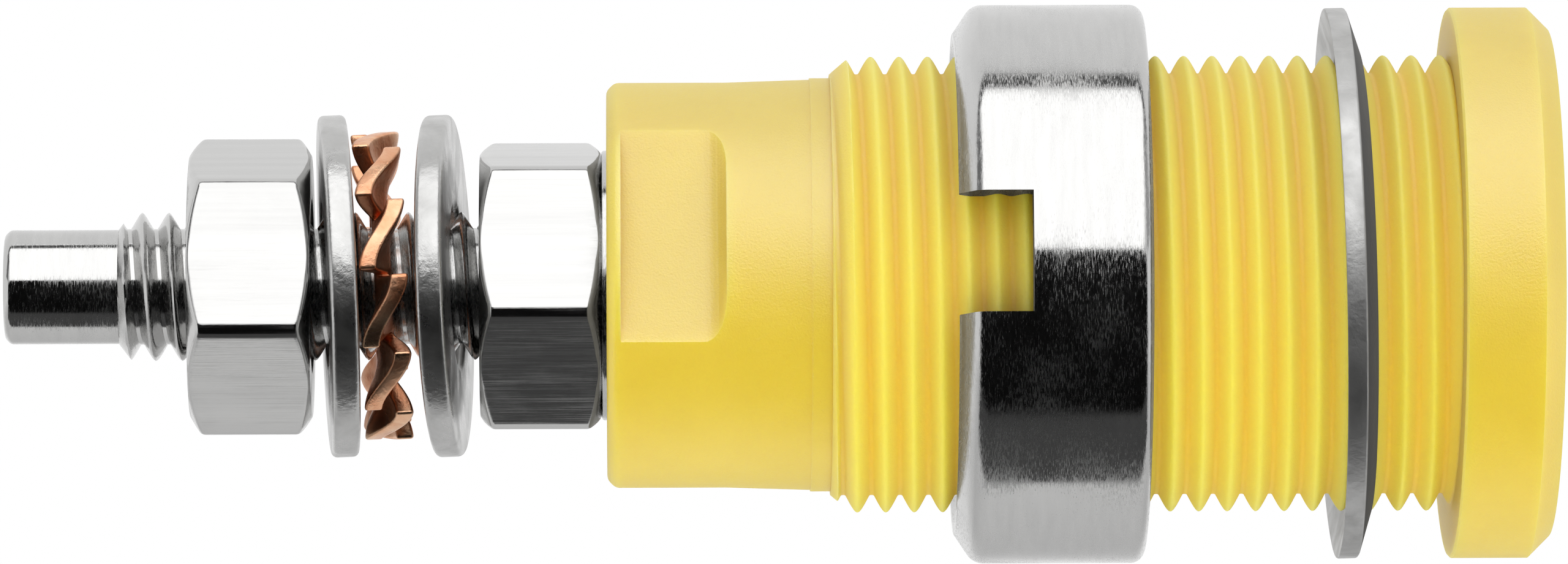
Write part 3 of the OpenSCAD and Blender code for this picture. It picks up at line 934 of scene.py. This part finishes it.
# Milled slot faces: rougher, and painted dark as painted shade
NICKEL_MILLED_SHADED = nickel("nickel_milled_painted_shade", stretch=(30000, 3000, 3000), roughness=(0.25, 0.5), bump=0.4,
                       dark=SLOT_SHADE_DARK, light=SLOT_SHADE_LIGHT)
NICKEL_STAMPED = stamped_nickel("nickel_stamped", roughness=(0.24, 0.40))
NICKEL_DISHED = dull_and_shade_dished_face(stamped_nickel("nickel_dished", roughness=(0.42, 0.58)))


# Pieces

def finished_mesh(bm, name, *materials):
    """The mesh of a finished shape, with its materials."""
    mesh = bpy.data.meshes.new(name)
    bm.to_mesh(mesh)
    bm.free()
    for material in materials:
        mesh.materials.append(material)
    return mesh


def into_scene(name, data):
    """Puts a mesh, a lamp or a camera into the scene."""
    thing = bpy.data.objects.new(name, data)
    bpy.context.scene.collection.objects.link(thing)
    return thing


def make_piece(bm, name, node, body, slot, *materials):
    """Hands a finished shape over, without needless points, as the piece that stands for a CAD node."""
    bmesh.ops.remove_doubles(bm, verts=bm.verts, dist=WELD)
    needless = [v for v in bm.verts if len(v.link_edges) == 2]
    bmesh.ops.dissolve_verts(bm, verts=needless)
    bmesh.ops.recalc_face_normals(bm, faces=bm.faces)
    mesh = finished_mesh(bm, name, *materials)
    mesh.shade_smooth()
    mesh.set_sharp_from_angle(angle=SMOOTH_BELOW)
    piece = into_scene(name, mesh)
    even = piece.modifiers.new("even_shading", "WEIGHTED_NORMAL")
    even.keep_sharp = True
    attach(piece, body)
    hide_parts(node)
    return piece


make_piece(insulator(), "yellow_insulator_body", "insulator", "socket", "yellow_insulator", YELLOW)
make_piece(contact(), "threaded_contact", "contact_stud", "socket", "nickel_contact", NICKEL_TURNED)
make_piece(hexagon_nut(*CLAMP_NUT), "clamp_hexagon_nut", "clamp_nut", "socket", "nickel_nut", NICKEL_DRAWN)
make_piece(flat_washer(*INNER_WASHER), "inner_flat_washer", "inner_washer", "inner_washer", "nickel_washer",
           NICKEL_STAMPED)
make_piece(fan_washer(), "fan_lock_washer", "fan_washer", "fan_washer", "copper_spring", COPPER)
make_piece(flat_washer(*OUTER_WASHER), "outer_flat_washer", "outer_washer", "outer_washer", "nickel_washer",
           NICKEL_STAMPED)
make_piece(hexagon_nut(*TERMINAL_NUT), "terminal_hexagon_nut", "terminal_nut", "terminal_nut", "nickel_nut",
           NICKEL_DRAWN)
make_piece(panel_washer(), "dished_panel_washer", "panel_washer", "panel_washer", "nickel_washer",
           NICKEL_DISHED)
make_piece(ring_nut(), "slotted_ring_nut", "ring_nut", "ring_nut", "nickel_turned",
           NICKEL_TURNED, NICKEL_MILLED_SHADED)


# Studio: a floor far below, cards that shape the gloss, soft lamps and the camera
FLOOR_Z = -200.0
FLOOR_SIZE = 700.0
FLOOR_FADE_FROM = 260.0
FLOOR_FADE_TO = 680.0
FLOOR_GLOW = 0.3
FLOOR_GREY = 0.9
SHOT_CENTRE_X = -17.5
SHOT_WIDTH = 41.32
LENS_PLACE = (-21.5, -301.0, 0.077)
SENSOR = 36.0
SHOT_ROLL = -0.18
SURROUND_LIGHT = 0.55
SURROUND_GLOSS = 0.92

# Cards along the socket: lower edge and upper edge as (y, z), and shade
CARD_FROM = -260
CARD_TO = 220
LONG_CARDS = (
    ("low_grey_card", (-6, -194), (-103, -141), 0.09),
    ("front_dark_card", (-103, -141), (-200, 50), 0.006),
    ("overhead_dark_strip", (-10, 160), (15, 160), 0.1),
)

# Cards beyond the socket's ends: place along the axis, and shade
SIDE_CARD_Y = (-190, -20)
SIDE_CARD_Z = (50, 330)
SIDE_CARDS = (
    ("side_card_left", -270, 0.22),
    ("side_card_right", 235, 0.5),
)

# Soft lamps: degrees to the right of the front, elevation, reach, width, height and power
GLOSS_LAMP = ("softbox", 0, 51, 300, 620, 410, 0.64)
FILL_LAMPS = (
    ("top_fill", 0, 85, 300, 620, 410, 0.53),
    ("front_fill", 0, -48, 200, 500, 120, 0.46),
    ("left_fill", -65, 10, 260, 200, 200, 0.06),
    ("right_fill", 65, 10, 260, 200, 200, 0.15),
)


def pale_floor():
    """A pale disc under the socket that fades into the white surround."""
    bm = bmesh.new()
    bmesh.ops.create_circle(bm, cap_ends=True, segments=96, radius=FLOOR_SIZE * MM)
    middle = Vector((SHOT_CENTRE_X, 0, FLOOR_Z)) * MM
    bmesh.ops.translate(bm, verts=bm.verts, vec=middle)
    material, tree = bare_material("pale_floor")
    here = add(tree, "ShaderNodeTexCoord").outputs["Object"]
    offset = add(tree, "ShaderNodeVectorMath", {0: here}, operation="DISTANCE", sockets={1: middle})
    fade = ranged(tree, offset.outputs["Value"], FLOOR_FADE_FROM * MM, FLOOR_FADE_TO * MM, 0, 1)
    matt = add(tree, "ShaderNodeBsdfDiffuse", sockets={"Color": (FLOOR_GREY, FLOOR_GREY, FLOOR_GREY, 1)})
    rays = add(tree, "ShaderNodeLightPath")
    seen = ranged(tree, rays.outputs["Is Camera Ray"], 0, 1, 0, FLOOR_GLOW)
    glow = add(tree, "ShaderNodeEmission", {"Strength": seen})
    pale = add(tree, "ShaderNodeAddShader", {0: matt.outputs["BSDF"], 1: glow.outputs["Emission"]})
    clear = add(tree, "ShaderNodeBsdfTransparent")
    both = add(tree, "ShaderNodeMixShader", {0: fade, 1: pale.outputs["Shader"], 2: clear.outputs["BSDF"]})
    add(tree, "ShaderNodeOutputMaterial", {"Surface": both.outputs["Shader"]})
    floor = into_scene("floor", finished_mesh(bm, "floor", material))


def edge_along(y, z):
    """The two ends of an edge that runs along the socket."""
    return (CARD_FROM, y, z), (CARD_TO, y, z)


def edge_away(x, z):
    """The two ends of an edge that runs away from the camera."""
    return tuple((x, y, z) for y in SIDE_CARD_Y)


def studio_card(name, low_edge, high_edge, shade):
    """A card that only gloss can see, between two edges of two corners each."""
    bm = bmesh.new()
    edges = []
    for edge in (low_edge, high_edge):
        edges.append(bm.edges.new([bm.verts.new(Vector(corner) * MM) for corner in edge]))
    bmesh.ops.bridge_loops(bm, edges=edges)
    material, tree = bare_material(name)
    matt = add(tree, "ShaderNodeBsdfDiffuse", sockets={"Color": (shade, shade, shade, 1)})
    add(tree, "ShaderNodeOutputMaterial", {"Surface": matt.outputs["BSDF"]})
    card = into_scene(name, finished_mesh(bm, name, material))
    card.visible_camera = False
    card.visible_diffuse = False
    card.visible_transmission = False
    card.visible_shadow = False


def soft_lamp(name, side, elevation, reach, width, height, power):
    """A soft lamp that faces the socket."""
    lamp = bpy.data.lights.new(name, "AREA")
    lamp.shape = "RECTANGLE"
    lamp.size = width * MM
    lamp.size_y = height * MM
    lamp.energy = power
    box = into_scene(name, lamp)
    rise = math.radians(elevation)
    swing = math.radians(side)
    level = math.cos(rise)
    away = Vector((level * math.sin(swing), -level * math.cos(swing), math.sin(rise)))
    box.location = (Vector((SHOT_CENTRE_X, 0, 0)) + away * reach) * MM
    box.rotation_euler = away.to_track_quat("Z", "X").to_euler()
    return box


def white_surround():
    """A white world to the camera, a little less bright in gloss and dimmer as light."""
    world = bpy.data.worlds.new("white_surround")
    world.use_nodes = True
    tree = world.node_tree
    rays = add(tree, "ShaderNodeLightPath")
    surround = tree.nodes["Background"]
    surround.inputs["Color"].default_value = (1, 1, 1, 1)
    lit = ranged(tree, rays.outputs["Is Glossy Ray"], 0, 1, SURROUND_LIGHT, SURROUND_GLOSS)
    seen = add(tree, "ShaderNodeMath", {0: rays.outputs["Is Camera Ray"], 1: lit}, operation="MAXIMUM")
    tree.links.new(seen.outputs["Value"], surround.inputs["Strength"])
    bpy.context.scene.world = world


def shot_camera():
    """The photograph's view: nearly square to the axis, turned a little towards the middle."""
    lens = bpy.data.cameras.new("shot")
    lens.sensor_width = SENSOR
    x, y, z = LENS_PLACE
    lens.lens = SENSOR * -y / SHOT_WIDTH
    lens.clip_start = 0.01
    lens.clip_end = 10.0
    camera = into_scene("shot", lens)
    towards = Matrix.Rotation(-math.atan2(SHOT_CENTRE_X - x, -y), 4, "Z")
    upright = Matrix.Rotation(math.pi / 2, 4, "X") @ Matrix.Rotation(math.radians(SHOT_ROLL), 4, "Z")
    camera.matrix_world = Matrix.Translation(Vector(LENS_PLACE) * MM) @ towards @ upright
    bpy.context.scene.camera = camera


pale_floor()
for name, low_edge, high_edge, shade in LONG_CARDS:
    studio_card(name, edge_along(*low_edge), edge_along(*high_edge), shade)
low, high = SIDE_CARD_Z
for name, x, shade in SIDE_CARDS:
    studio_card(name, edge_away(x, low), edge_away(x, high), shade)
gloss_lamp = soft_lamp(*GLOSS_LAMP)
gloss_lamp.visible_diffuse = False
for values in FILL_LAMPS:
    fill_lamp = soft_lamp(*values)
    fill_lamp.visible_glossy = False
white_surround()
shot_camera()
bpy.context.scene.view_settings.view_transform = "Standard"
